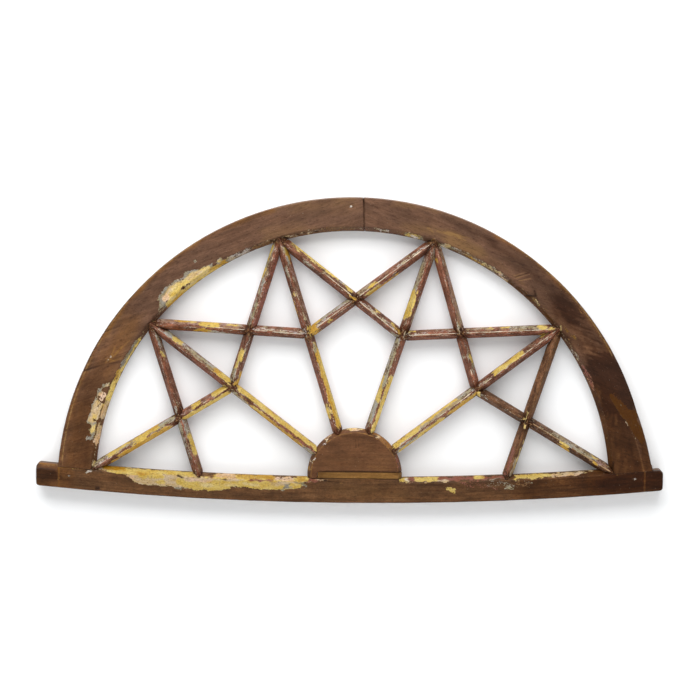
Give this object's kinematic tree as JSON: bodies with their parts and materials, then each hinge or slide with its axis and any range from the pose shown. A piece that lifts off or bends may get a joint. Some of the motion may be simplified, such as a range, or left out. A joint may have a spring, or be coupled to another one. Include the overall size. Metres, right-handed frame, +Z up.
{
  "type": "fanlight window",
  "caption": "Half-round wooden fanlight sash with a star of glazing bars fanning from a half-round hub, unglazed, with worn dark stain and old paint.",
  "frame": {"origin": "on the back face of the bottom rail, at the point that the arch is struck from", "axes": "+X to the right seen from the moulded front, +Y from the front face to the back face, +Z up; the back face lies on y = 0"},
  "size_m": [1.161, 0.04, 0.5658],
  "materials": {
    "dark_stained_wood": "worn dark stain over old cream and yellow paint",
    "red_brown_paint": "old red-brown paint, chipped",
    "bare_wood": "bare, lightly oiled"
  },
  "bodies": {
    "root": {"arch_left": "dark_stained_wood", "arch_right": "dark_stained_wood", "bottom_rail": "dark_stained_wood", "hub": "dark_stained_wood", "hub_strip": "bare_wood", "ray_1": "red_brown_paint", "ray_2": "red_brown_paint", "ray_3": "red_brown_paint", "ray_4": "red_brown_paint", "foot_bar_left": "red_brown_paint", "star_bar_1_left": "red_brown_paint", "star_bar_1_right": "red_brown_paint", "star_bar_2_left": "red_brown_paint", "star_bar_2_right": "red_brown_paint", "star_bar_3_left": "red_brown_paint", "star_bar_3_right": "red_brown_paint", "star_bar_4_left": "red_brown_paint", "star_bar_4_right": "red_brown_paint", "foot_bar_right": "red_brown_paint"}
  },
  "joints": []
}
